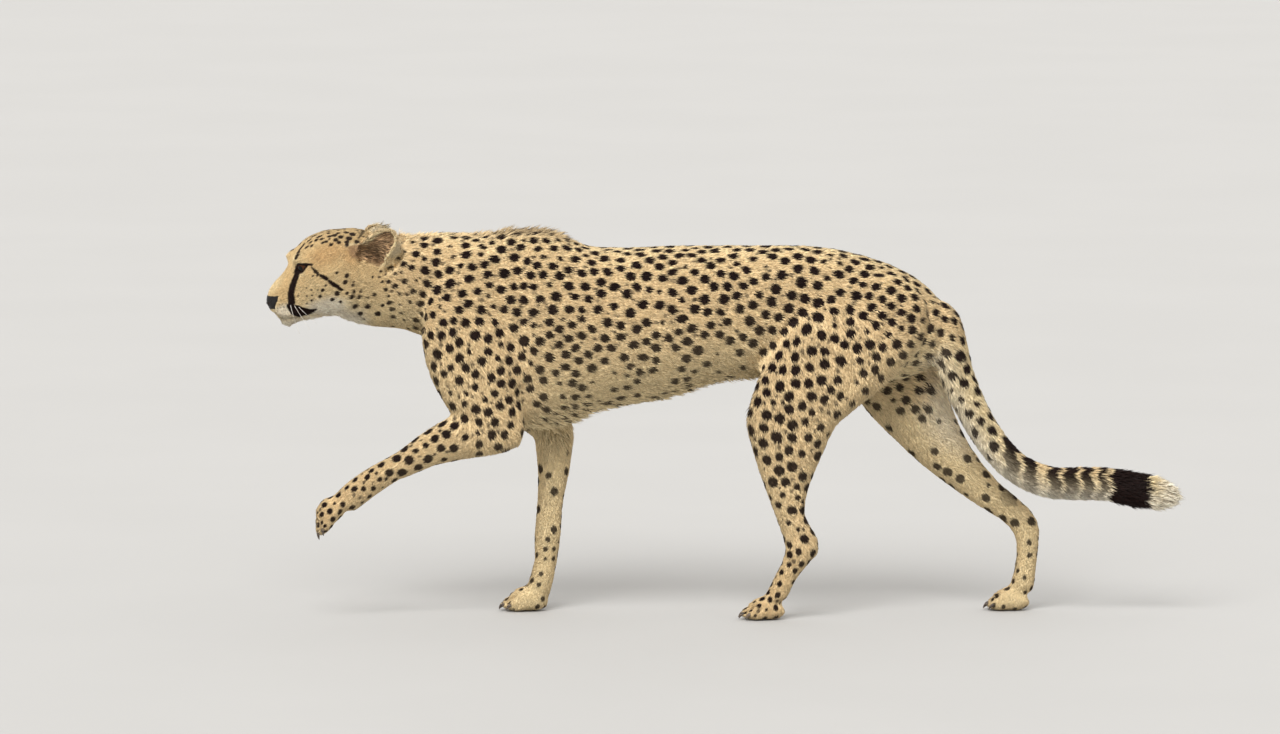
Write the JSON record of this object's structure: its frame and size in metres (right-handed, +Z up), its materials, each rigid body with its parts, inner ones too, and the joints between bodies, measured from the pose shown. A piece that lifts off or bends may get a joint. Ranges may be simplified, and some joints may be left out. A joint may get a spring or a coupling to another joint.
{
  "type": "cheetah",
  "caption": "Life-size still model of a walking cheetah with one foreleg raised, head lowered and tail held out behind, resting on its standing paws.",
  "frame": {"origin": "on the floor, below the middle of the animal's bounding box", "axes": "+Z up, head toward -X, tail toward +X, the animal's left side toward -Y"},
  "size_m": [1.7324, 0.2522, 0.7435],
  "materials": {
    "coat": "short golden-buff fur with round near-black spots, pale below",
    "nose_leather": "moist black nose leather",
    "eye": "wet amber eye with a dark round pupil"
  },
  "bodies": {
    "root": {"head": "coat", "nose": "nose_leather", "eye_left": "eye", "eye_right": "eye", "ear_left": "coat", "ear_right": "coat", "neck": "coat", "trunk_front": "coat", "trunk_rear": "coat", "fore_left_upper": "coat", "fore_left_forearm": "coat", "fore_left_paw": "coat", "fore_right_upper": "coat", "fore_right_forearm": "coat", "fore_right_paw": "coat", "hind_left_thigh": "coat", "hind_left_shank": "coat", "hind_left_paw": "coat", "hind_right_thigh": "coat", "hind_right_shank": "coat", "hind_right_paw": "coat", "tail_base": "coat", "tail_middle": "coat", "tail_end": "coat"}
  },
  "joints": []
}
